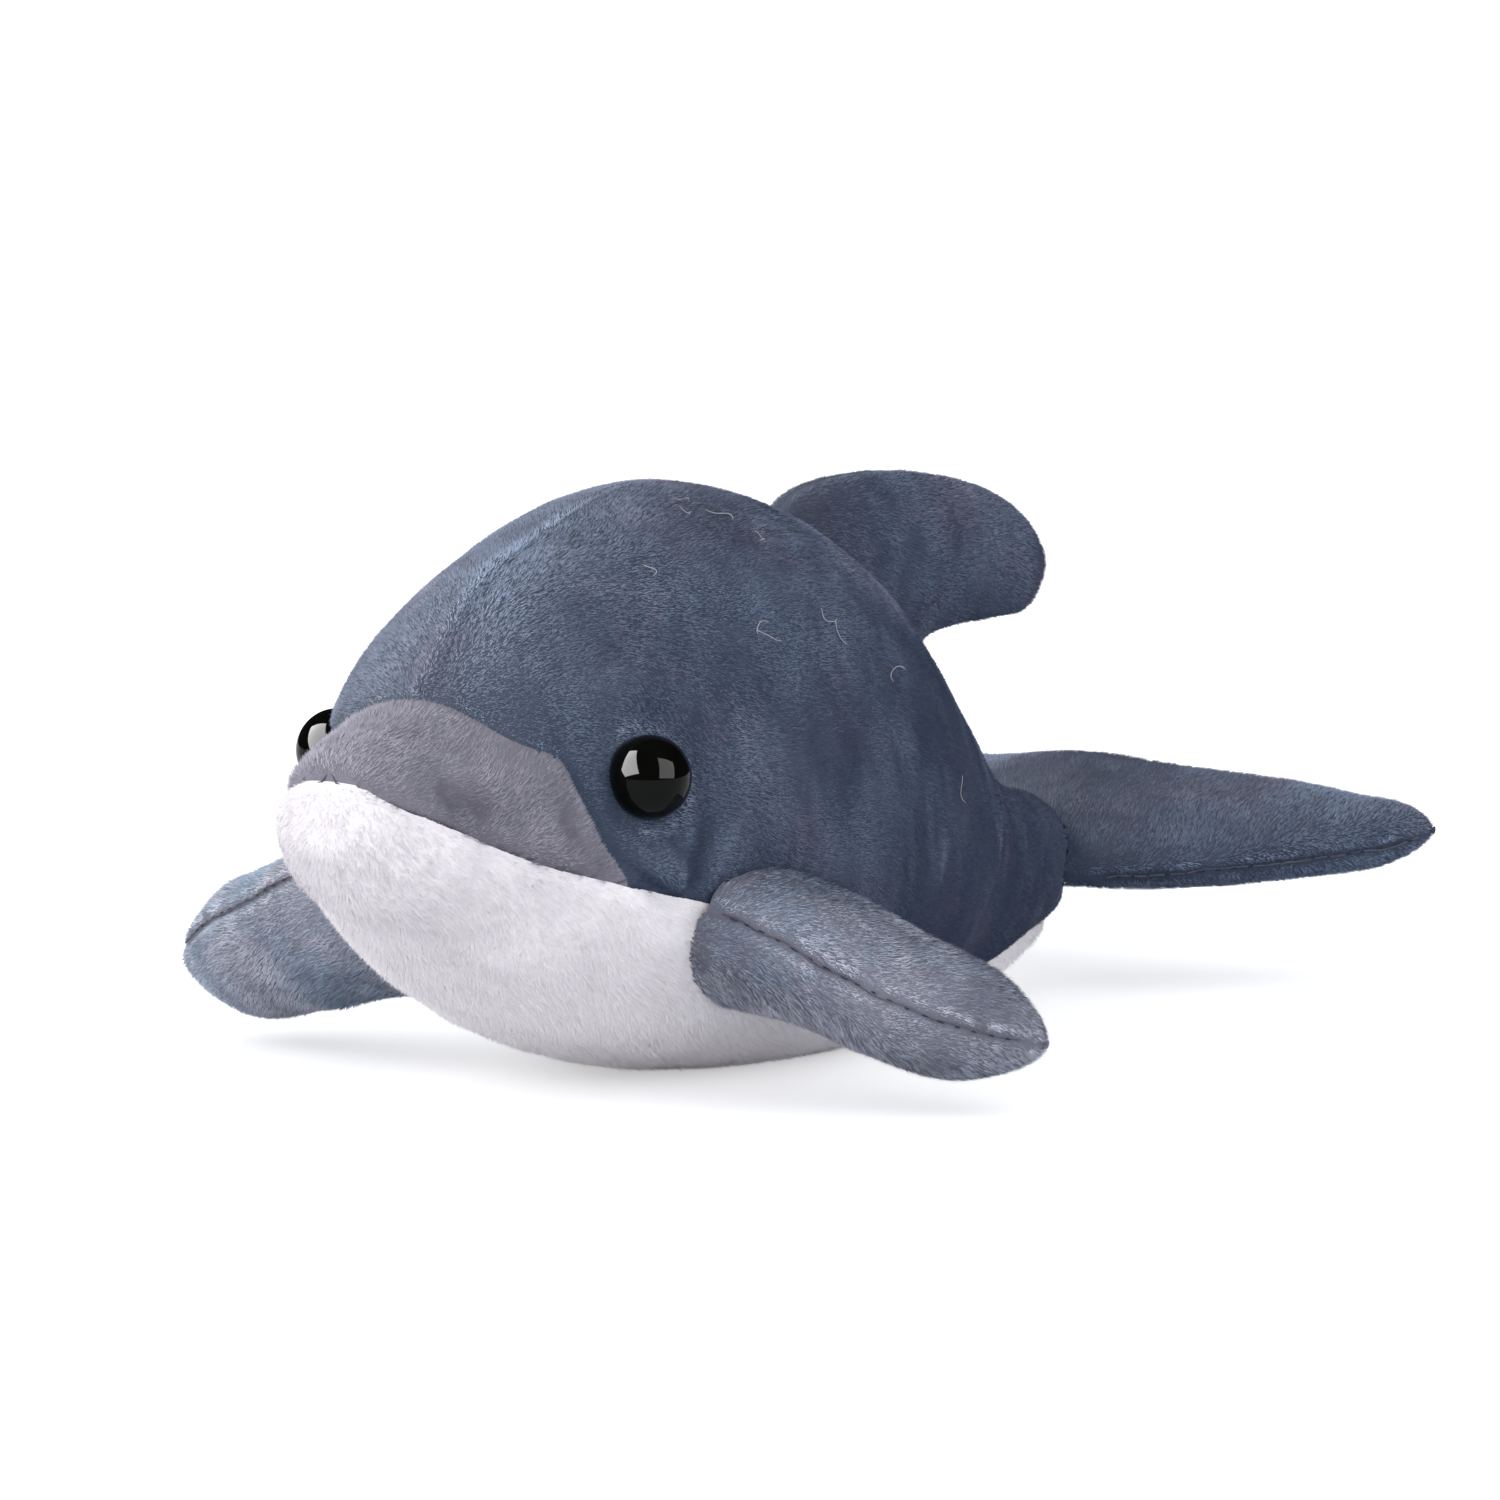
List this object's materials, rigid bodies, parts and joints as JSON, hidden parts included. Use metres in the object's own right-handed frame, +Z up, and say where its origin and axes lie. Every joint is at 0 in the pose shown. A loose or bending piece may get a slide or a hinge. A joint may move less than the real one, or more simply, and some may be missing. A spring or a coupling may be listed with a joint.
{
  "type": "plush dolphin",
  "caption": "Small stuffed plush dolphin lying on its belly, with spread flippers, a swept dorsal fin, tail flukes and domed safety eyes.",
  "frame": {"origin": "on the floor under the middle of the toy's overall box", "axes": "-Y out of the nose, +X to the dolphin's left, +Z up"},
  "size_m": [0.123, 0.1805, 0.0713],
  "materials": {
    "back_plush": "short brushed pile, mottled slate blue",
    "snout_plush": "short brushed pile, warm grey",
    "flipper_plush": "short brushed pile, mottled grey",
    "belly_plush": "short brushed pile, white",
    "eye_plastic": "glossy black",
    "washer_plastic": "moulded, natural white",
    "fibre_fill": "loose polyester fibre"
  },
  "bodies": {
    "root": {"back_panel_left": "back_plush", "back_panel_right": "back_plush", "snout_panel": "snout_plush", "belly_panel": "belly_plush", "flipper_left_upper": "flipper_plush", "flipper_left_lower": "flipper_plush", "flipper_right_upper": "flipper_plush", "flipper_right_lower": "flipper_plush", "dorsal_fin_left": "back_plush", "dorsal_fin_right": "back_plush", "fluke_upper": "back_plush", "fluke_lower": "back_plush", "eye_left": "eye_plastic", "eye_right": "eye_plastic", "eye_washer_left": "washer_plastic", "eye_washer_right": "washer_plastic", "body_stuffing": "fibre_fill", "flipper_left_stuffing": "fibre_fill", "flipper_right_stuffing": "fibre_fill", "dorsal_fin_stuffing": "fibre_fill", "fluke_stuffing": "fibre_fill"}
  },
  "joints": []
}
